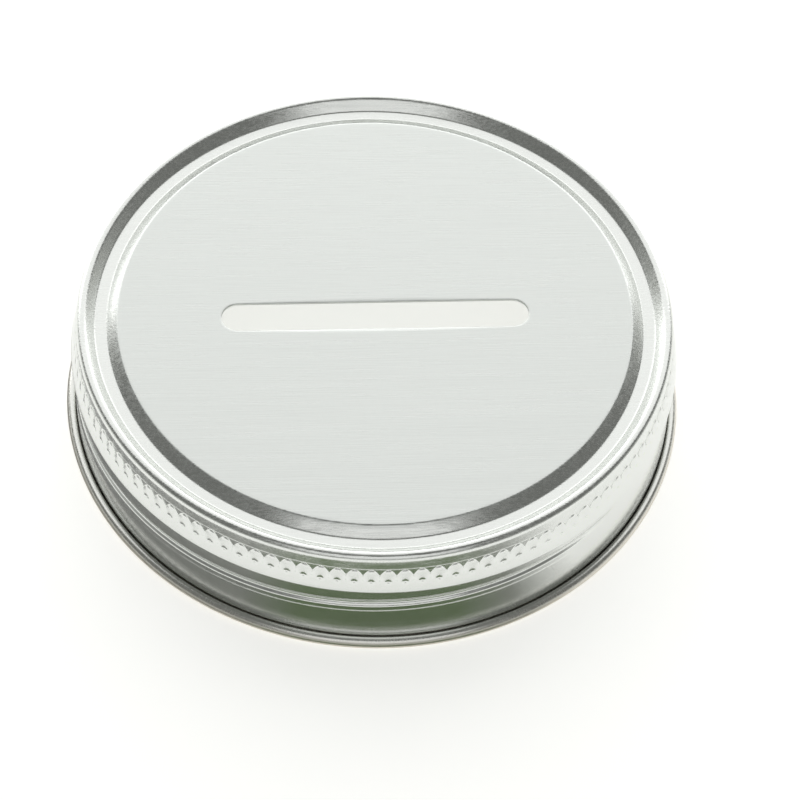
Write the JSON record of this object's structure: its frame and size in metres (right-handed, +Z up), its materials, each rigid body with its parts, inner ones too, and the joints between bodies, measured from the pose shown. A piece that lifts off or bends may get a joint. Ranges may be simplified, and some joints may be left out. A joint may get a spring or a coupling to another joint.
{
  "type": "coin slot jar lid",
  "caption": "Round pressed tinplate screw lid with a coin slot, raised panel, knurled grip band, rolled thread and curled rim, and a lift-out silicone seal ring.",
  "frame": {"origin": "centre of the plane that the curled rim stands on", "axes": "+Z up along the lid's axis, from the open side to the top panel; +X along the coin slot"},
  "size_m": [0.07, 0.07, 0.0152],
  "materials": {
    "tinplate": "satin bright tinplate",
    "silicone": "matte milky silicone"
  },
  "bodies": {
    "lid": {"lid_shell": "tinplate"},
    "seal": {"seal_ring": "silicone"}
  },
  "joints": [
    {"name": "seal_lift_out", "type": "slide", "parent": "lid", "child": "seal", "axis": [0, 0, -1], "range_m": [0, 0.0145]}
  ]
}
